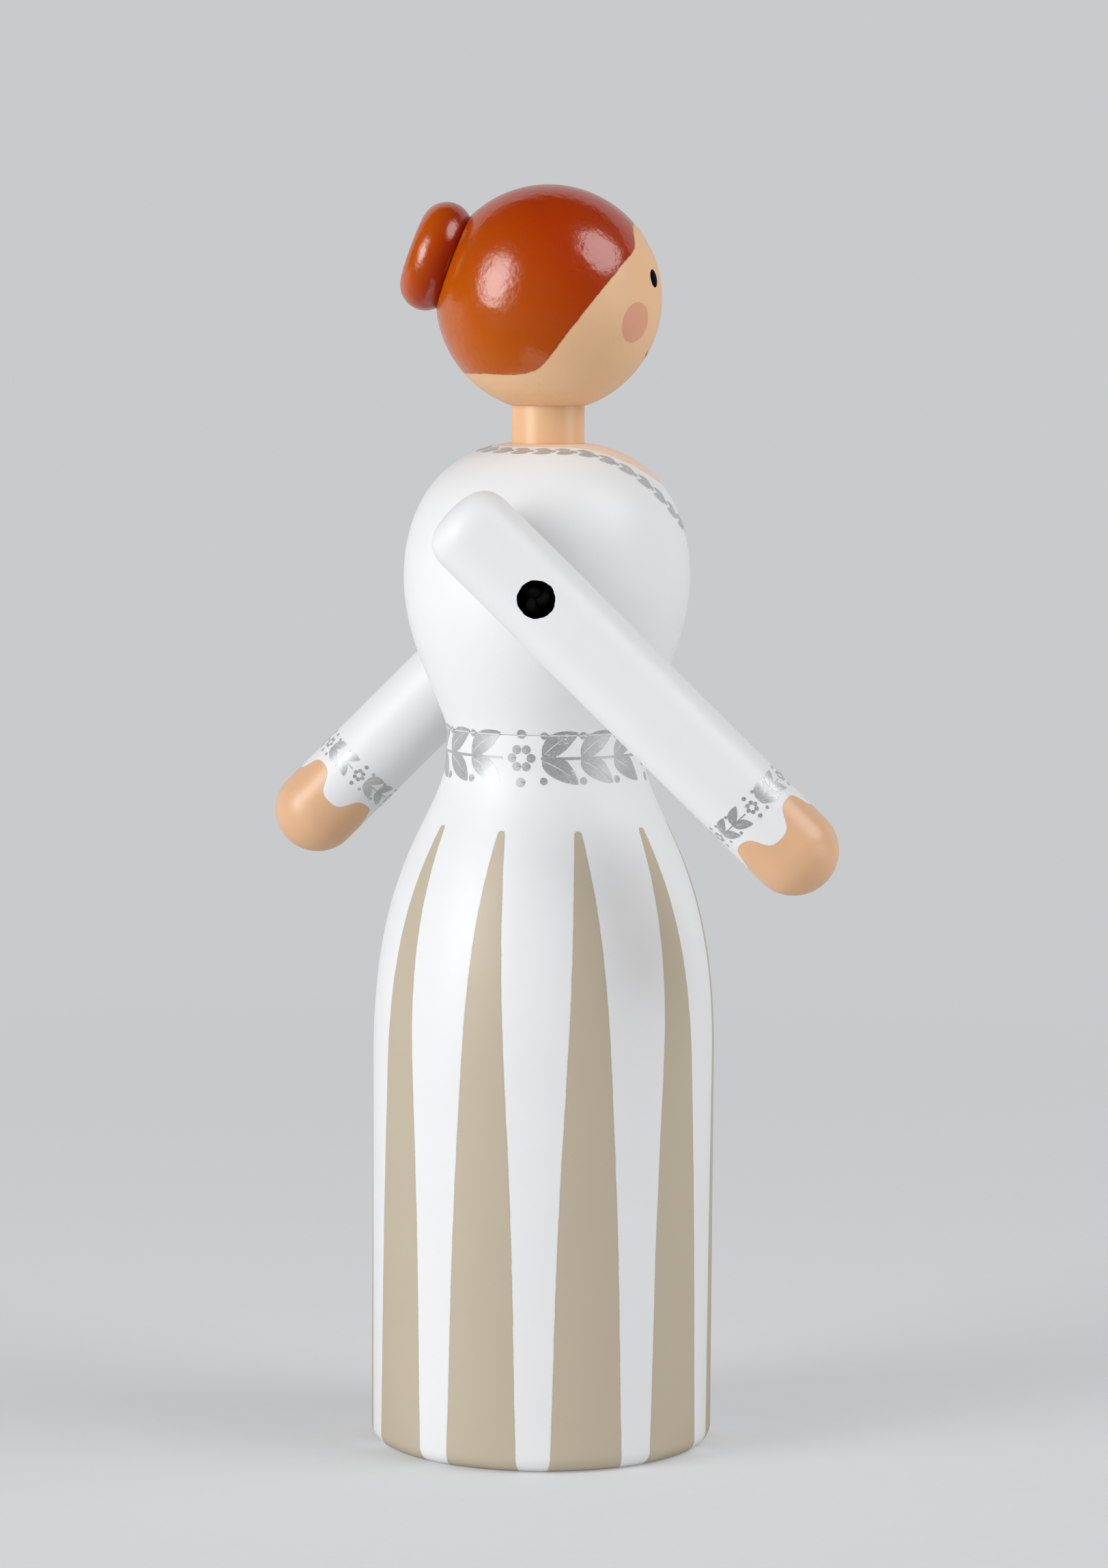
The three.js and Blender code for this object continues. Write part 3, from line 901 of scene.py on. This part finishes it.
# Darker, redder colour at the bun's foot: painted shade of the groove round it.
BUN_FOOT_SHADE = paint(154, 24, 0)
BUN_END_HAIR = paint(184, 79, 0)
BUN_SHADE_RANGE = (0.2, 5.0)
bun_foot = -math.degrees(math.asin(BUN_WIDEST / BUN_EDGE))
bun_outline = [(0, 0), (BUN_SEAT, 0)]
bun_outline += arc((BUN_EDGE_CENTRE, BUN_WIDEST), BUN_EDGE, bun_foot, 90, steps=40)
bun_outline += [(radius, BUN_WIDEST + BUN_EDGE + rise) for radius, rise in BUN_CROWN]
bun = turned("hair_bun_turned", bun_outline, sides=128)
bun_spin = Matrix.Rotation(BUN_LEAN - math.pi / 2, 4, "Y")
bun.matrix_world = Matrix.Translation(Vector((0, 0, HEAD_CENTRE * MM)) + bun_way * BUN_FLAT * MM) @ bun_spin
bun_paint, tree, shader = new_material("bun_paint")
place, _, _, z = place_on(tree)
# Painted shade: the bun turns darker towards its foot, where the groove is.
colour = mix(tree, span(tree, z, *BUN_SHADE_RANGE), BUN_FOOT_SHADE, BUN_END_HAIR)
coat(tree, shader, colour, place, clouding=0.06, roughness=HAIR_ROUGHNESS, rubbed=0.04, peel_depth=0.09)
shader.inputs["Specular IOR Level"].default_value = ENAMEL_SHINE
bun.data.materials.append(bun_paint)
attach(bun, "head")
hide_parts("hair_bun")
bare_peg("bun_peg")


# Arms: two round sticks with domed ends, held against the torso by an elastic cord through the shoulder.
# The sleeve is white, the hand is dipped in skin colour up to a scalloped cuff, and a small silver garland
# runs round the wrist. The cord's knot sits in a pocket in the outer side. Heights start at the pivot.
ARM_RADIUS = 5.9
HAND_CENTRE = -46.9
SHOULDER_TOP = 16.0
SHOULDER_BEND = 11.6
SHOULDER_SIDE_LEVER = 14.4
SHOULDER_TOP_LEVER = 4.4
ARM_SIDE = 24.45
PIVOT_HEIGHT = 116.5
ARM_SWINGS = (("right_arm", -1, -45.7), ("left_arm", 1, 44.7))
ARM_SEAT = 5.3
SEAT_HALF_LENGTH = 9.0
POCKET_RADIUS = 2.5
POCKET_FLOOR = 1.4
CORD_HOLE = 1.5
DRILL_REACH = 8.0
TORN_RIM = ((5, 1, 0.012), (11, 0, 0.01), (23, 0, 0.006))
TORN_RIM_REACH = 0.08
CUFF_PRINT = -38.65
CUFF_UNITS = 15
CUFF_SCALE = 0.47
CUFF_LINE = -42.75
SCALLOPS = 4.0
SCALLOP_TURN = -0.2
SCALLOP_SQUARENESS = 1.6
SCALLOP_DEPTH = 1.65
HAND_SKIN = paint(227, 181, 141)
HAND_RIDGE = paint(176, 136, 104)
HAND_ROUGHNESS = 0.32
# Near-black for the walls of the pocket and the cord hole: painted shade in the drilled recess.
POCKET_SHADE_BLACK = paint(9, 8, 8)
arm_outline = [(0, HAND_CENTRE - ARM_RADIUS)] + arc((0, HAND_CENTRE), ARM_RADIUS, -90, 0, steps=40)[1:]
arm_outline += straight((ARM_RADIUS, HAND_CENTRE), (ARM_RADIUS, SHOULDER_BEND), steps=96)[1:]
arm_outline += bow(
    (ARM_RADIUS, SHOULDER_BEND), (ARM_RADIUS, SHOULDER_SIDE_LEVER),
    (SHOULDER_TOP_LEVER, SHOULDER_TOP), (0, SHOULDER_TOP), steps=32,
)[1:]

sleeve_paint, tree, shader = new_material("sleeve_paint")
place, x, y, z = place_on(tree)
round_arm = calc(tree, "ARCTAN2", x, calc(tree, "ABSOLUTE", y))
scallop = calc(tree, "COSINE", calc(tree, "MULTIPLY_ADD", round_arm, SCALLOPS, SCALLOP_TURN))
scallop = calc(tree, "TANH", calc(tree, "MULTIPLY", scallop, SCALLOP_SQUARENESS))
cuff_edge = calc(tree, "MULTIPLY_ADD", scallop, -SCALLOP_DEPTH, CUFF_LINE)
hand = use_group(tree, painted_edge, Inside=calc(tree, "SUBTRACT", cuff_edge, z), Place=place, Wander=0.14)
colour = mix(tree, hand["Mask"], WHITE, HAND_SKIN)
colour = ridged(tree, hand, colour, HAND_RIDGE, share=0.3)
gloss = span(tree, hand["Mask"], 0.0, 1.0, SATIN["roughness"], HAND_ROUGHNESS)
coat(tree, shader, colour, place, **{**SATIN, "roughness": gloss})

# The pocket's walls are painted near-black: painted shade inside the recess.
pocket_painted_shade, tree, shader = new_material("pocket_painted_shade")
place, *_ = place_on(tree)
coat(tree, shader, POCKET_SHADE_BLACK, place, clouding=0.3, roughness=0.5, rubbed=0.2, peel_depth=0.08)


def drilled(piece, radius, start, end):
    """Drills a hole along Y between two distances, with a slightly torn rim, and keeps the mesh closed."""
    bit = turned("drill", [(0, 0), (radius, 0), (radius, end - start), (0, end - start)], sides=96)
    for point in bit.data.vertices:
        a = math.atan2(point.co.y, point.co.x)
        chatter = 1 + sum(depth * math.sin(waves * a + first) for waves, first, depth in TORN_RIM)
        point.co.x *= chatter
        point.co.y *= chatter
    bit.matrix_world = Matrix.Translation((0, start * MM, 0)) @ Matrix.Rotation(-math.pi / 2, 4, "X")
    cut = piece.modifiers.new("drill", "BOOLEAN")
    cut.operation = "DIFFERENCE"
    cut.solver = "EXACT"
    cut.object = bit
    bpy.context.view_layer.update()
    mesh = bpy.data.meshes.new_from_object(piece.evaluated_get(bpy.context.evaluated_depsgraph_get()))
    piece.modifiers.clear()
    piece.data = mesh
    bpy.data.objects.remove(bit)


def on_cuff(along, across):
    """A point of the arm from its place along and across the cuff's print."""
    angle = along / ARM_RADIUS
    return Vector((ARM_RADIUS * math.cos(angle), ARM_RADIUS * math.sin(angle), CUFF_PRINT + across))


cuff_motifs = garland(CUFF_UNITS, TURN * ARM_RADIUS, CUFF_SCALE, blossom_every=3)
for name, outward, swing in ARM_SWINGS:
    arm = turned(name + "_turned", arm_outline, sides=128)
    for point in arm.data.vertices:
        if abs(point.co.z) < SEAT_HALF_LENGTH * MM and point.co.y * -outward > ARM_SEAT * MM:
            point.co.y = -outward * ARM_SEAT * MM
    drilled(arm, POCKET_RADIUS, *sorted((outward * POCKET_FLOOR, outward * DRILL_REACH)))
    drilled(arm, CORD_HOLE, -DRILL_REACH, DRILL_REACH)
    arm.data.materials.append(sleeve_paint)
    arm.data.materials.append(pocket_painted_shade)
    # Faces inside the pocket and the cord hole take the near-black painted shade.
    for face in arm.data.polygons:
        from_hole = math.hypot(face.center.x, face.center.z)
        if from_hole < (POCKET_RADIUS + TORN_RIM_REACH) * MM and abs(face.center.y) < ARM_SEAT * MM:
            face.material_index = 1
    arm.data.shade_smooth()
    arm.data.set_sharp_from_angle(angle=math.radians(REAL_CORNER))
    pivot = Matrix.Translation((0, outward * ARM_SIDE * MM, PIVOT_HEIGHT * MM))
    hang = pivot @ Matrix.Rotation(math.radians(swing), 4, "Y")
    arm.matrix_world = hang
    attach(arm, name)
    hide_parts(name)
    cuff = printed(name + "_cuff_garland", cuff_motifs, on_cuff)
    cuff.matrix_world = hang
    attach(cuff, name)


# Elastic cord: black braided cord through both arms and the torso, with an overhand knot in each pocket.
# It pulls the arms against the torso, so that they hold where they are put.
CORD_RADIUS = 1.1
CORD_HALF_LENGTH = 27.0
KNOT_MIDDLE = 27.95
KNOT_STRAND = 0.78
KNOT_REACH = 1.42
KNOT_DEPTH = 0.95
KNOT_STEPS = 96
BRAID_DARK = paint(3, 3, 3)
BRAID_PALE = paint(11, 11, 10)
BRAID_WAVES = 1.6
BRAID_UNEVENNESS = 1.5
BRAID_DEPTH = 0.1


def tube(shape, points, radius, closed, sides=16):
    """A round strand along points, added to a shape and closed at its ends."""
    count = len(points)
    rings = []
    across = Vector((0, 0, 1))
    for i in range(count):
        after = points[(i + 1) % count] if closed or i < count - 1 else points[i]
        before = points[i - 1] if closed or i > 0 else points[i]
        run = (after - before).normalized()
        across = (across - run * across.dot(run)).normalized()
        other = run.cross(across)
        ring = []
        for k in range(sides):
            a = TURN * k / sides
            out = across * math.cos(a) + other * math.sin(a)
            ring.append(shape.verts.new((points[i] + out * radius) * MM))
        rings.append(ring)
    pairs = list(zip(rings, rings[1:]))
    if closed:
        twist = min(range(sides), key=lambda s: (rings[-1][0].co - rings[0][s].co).length)
        pairs.append((rings[-1], rings[0][twist:] + rings[0][:twist]))
    for first, second in pairs:
        for k in range(sides):
            j = (k + 1) % sides
            shape.faces.new((first[k], first[j], second[j], second[k]))
    if not closed:
        shape.faces.new(rings[0])
        shape.faces.new(rings[-1])


shape = bmesh.new()
cord_ends = (0, -CORD_HALF_LENGTH, 0), (0, CORD_HALF_LENGTH, 0)
tube(shape, [Vector(point) for point in straight(*cord_ends, steps=60)], CORD_RADIUS, closed=False)
for outward in (-1, 1):
    loop = []
    for i in range(KNOT_STEPS):
        t = TURN * i / KNOT_STEPS
        loop.append(Vector((
            (math.sin(t) + 2 * math.sin(2 * t)) / 3 * KNOT_REACH,
            outward * KNOT_MIDDLE - KNOT_DEPTH * math.sin(3 * t),
            (math.cos(t) - 2 * math.cos(2 * t)) / 3 * KNOT_REACH,
        )))
    tube(shape, loop, KNOT_STRAND, closed=True)
cord = made_piece("elastic_cord_knotted", shape, corner=50)
cord.location = (0, 0, PIVOT_HEIGHT * MM)
black_braid, tree, shader = new_material("black_braid")
place, *_ = place_on(tree)
weave = tree.nodes.new("ShaderNodeTexWave")
weave.inputs["Scale"].default_value = BRAID_WAVES
weave.inputs["Distortion"].default_value = BRAID_UNEVENNESS
feed(tree, place, weave.inputs["Vector"])
feed(tree, mix(tree, weave.outputs["Fac"], BRAID_DARK, BRAID_PALE), shader.inputs["Base Color"])
shader.inputs["Roughness"].default_value = 0.7
shader.inputs["Specular IOR Level"].default_value = 0.15
raised(tree, shader, weave.outputs["Fac"], BRAID_DEPTH)
cord.data.materials.append(black_braid)
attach(cord, "body")
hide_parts("elastic_cord")


# Studio: a pale paper sheet runs from the floor up behind the figure, in a room that is otherwise dark.
# Two large soft lamps, one with a brighter core, and a weak low one light the figure.
# Its gloss mirrors the lamps and the sheet behind it. Sizes here are in metres, and ranges in millimetres.
SHEET_HALF_WIDTH = 3.0
SHEET_FRONT = -2.5
SHEET_BACK = 1.5
SHEET_BEND = 0.7
SHEET_TOP = 2.0
AIR = 0.26
PALE = paint(200, 202, 204)
ROOM = (0.008, 0.008, 0.008, 1)
PAPER = paint(236, 237, 238)
PAPER_FIBRE = paint(240, 241, 242)
FIBRE_WAVES = 0.4
SHADOW_RANGE = (60.0, 450.0)
SHADOW_SHARE = 0.5
MIRROR_RANGE = (-100.0, 200.0)
bend_start = SHEET_BACK - SHEET_BEND
sheet_path = straight((SHEET_FRONT, 0.0), (bend_start, 0.0), steps=20)
sheet_path += arc((bend_start, SHEET_BEND), SHEET_BEND, -90, 0, steps=24)[1:] + [(SHEET_BACK, SHEET_TOP)]
sheet_mesh = bpy.data.meshes.new("studio_sheet")
sheet_points = [(side * SHEET_HALF_WIDTH, back, up) for back, up in sheet_path for side in (-1, 1)]
sheet_faces = [(2 * i, 2 * i + 1, 2 * i + 3, 2 * i + 2) for i in range(len(sheet_path) - 1)]
sheet_mesh.from_pydata(sheet_points, [], sheet_faces)
sheet_mesh.shade_smooth()
sheet = bpy.data.objects.new("studio_sheet", sheet_mesh)
bpy.context.scene.collection.objects.link(sheet)


def ray_kinds(tree):
    """Whether a ray comes from the camera, and whether it is mirrored or passed through something clear."""
    ray = tree.nodes.new("ShaderNodeLightPath")
    mirrored = calc(tree, "MAXIMUM", ray.outputs["Is Glossy Ray"], ray.outputs["Is Transmission Ray"])
    return ray.outputs["Is Camera Ray"], mirrored


sheet_paper, tree, shader = new_material("sheet_paper")
place, _, y, _ = place_on(tree)
fibres = cloud(tree, place, FIBRE_WAVES, detail=3.0)
feed(tree, mix(tree, fibres, PAPER, PAPER_FIBRE), shader.inputs["Base Color"])
shader.inputs["Roughness"].default_value = 0.9
shader.inputs["Specular IOR Level"].default_value = 0.1
from_figure = tree.nodes.new("ShaderNodeVectorMath")
from_figure.operation = "LENGTH"
feed(tree, place, from_figure.inputs[0])
past_shadow = span(tree, from_figure.outputs["Value"], *SHADOW_RANGE, SHADOW_SHARE, 1.0)
from_camera, mirrored = ray_kinds(tree)
seen = calc(tree, "MAXIMUM", calc(tree, "MULTIPLY", from_camera, past_shadow), mirrored)
shown = calc(tree, "MAXIMUM", from_camera, span(tree, y, *MIRROR_RANGE))
backdrop = tree.nodes.new("ShaderNodeEmission")
feed(tree, mix(tree, shown, ROOM, PALE), backdrop.inputs["Color"])
blend = tree.nodes.new("ShaderNodeMixShader")
feed(tree, seen, blend.inputs["Fac"])
tree.links.new(shader.outputs["BSDF"], blend.inputs[1])
tree.links.new(backdrop.outputs["Emission"], blend.inputs[2])
tree.links.new(blend.outputs["Shader"], tree.nodes["Material Output"].inputs["Surface"])
sheet_mesh.materials.append(sheet_paper)

CAMERA_PLACE = (0.03268, -0.71426, 0.1624)
CAMERA_HEADING = math.radians(2.527)
CAMERA_TILT = math.radians(5.816)
CAMERA_ROLL = math.radians(0.417)
CAMERA_LENS = 122.27
CAMERA_FILM = 36
LIT_MIDDLE = Vector((0, 0, 0.1))
LEFT_AIM = (-0.8, 0.25, 0.545)
RIGHT_AIM = (0.685, 0.657, 0.314)
LOW_AIM = (0.95, -0.12, 0.28)
look = Vector((
    -math.sin(CAMERA_HEADING) * math.cos(CAMERA_TILT),
    math.cos(CAMERA_HEADING) * math.cos(CAMERA_TILT),
    -math.sin(CAMERA_TILT),
))
right = look.cross(Vector((0, 0, 1))).normalized()
up = right.cross(look)


def softbox(name, aim, distance, width, height, power):
    """A soft lamp seen from the figure along the view's right, up and nearer axes."""
    lamp = bpy.data.lights.new(name, "AREA")
    lamp.shape = "ELLIPSE"
    lamp.size = width
    lamp.size_y = height
    lamp.energy = power
    way = (right * aim[0] + up * aim[1] - look * aim[2]).normalized()
    holder = bpy.data.objects.new(name, lamp)
    holder.location = LIT_MIDDLE + way * distance
    holder.rotation_euler = way.to_track_quat("Z", "Y").to_euler()
    bpy.context.scene.collection.objects.link(holder)


softbox("left_softbox", LEFT_AIM, distance=1.0, width=0.74, height=1.04, power=3.6)
softbox("left_softbox_core", LEFT_AIM, distance=0.98, width=0.47, height=0.7, power=4.05)
softbox("right_softbox", RIGHT_AIM, distance=1.0, width=0.68, height=0.68, power=4.45)
softbox("low_fill", LOW_AIM, distance=1.2, width=0.7, height=0.7, power=3.65)
world = bpy.data.worlds.new("studio_air")
world.use_nodes = True
tree = world.node_tree
from_camera, mirrored = ray_kinds(tree)
sky = mix(tree, mirrored, (AIR, AIR, AIR, 1), ROOM)
feed(tree, mix(tree, from_camera, sky, PALE), tree.nodes["Background"].inputs["Color"])
bpy.context.scene.world = world

lens = bpy.data.cameras.new("photo_camera")
lens.lens = CAMERA_LENS
lens.sensor_width = CAMERA_FILM
camera = bpy.data.objects.new("photo_camera", lens)
facing = Matrix((right, up, -look)).transposed().to_4x4()
camera.matrix_world = Matrix.Translation(CAMERA_PLACE) @ facing @ Matrix.Rotation(CAMERA_ROLL, 4, "Z")
bpy.context.scene.collection.objects.link(camera)
bpy.context.scene.camera = camera
bpy.context.scene.view_settings.view_transform = "Standard"
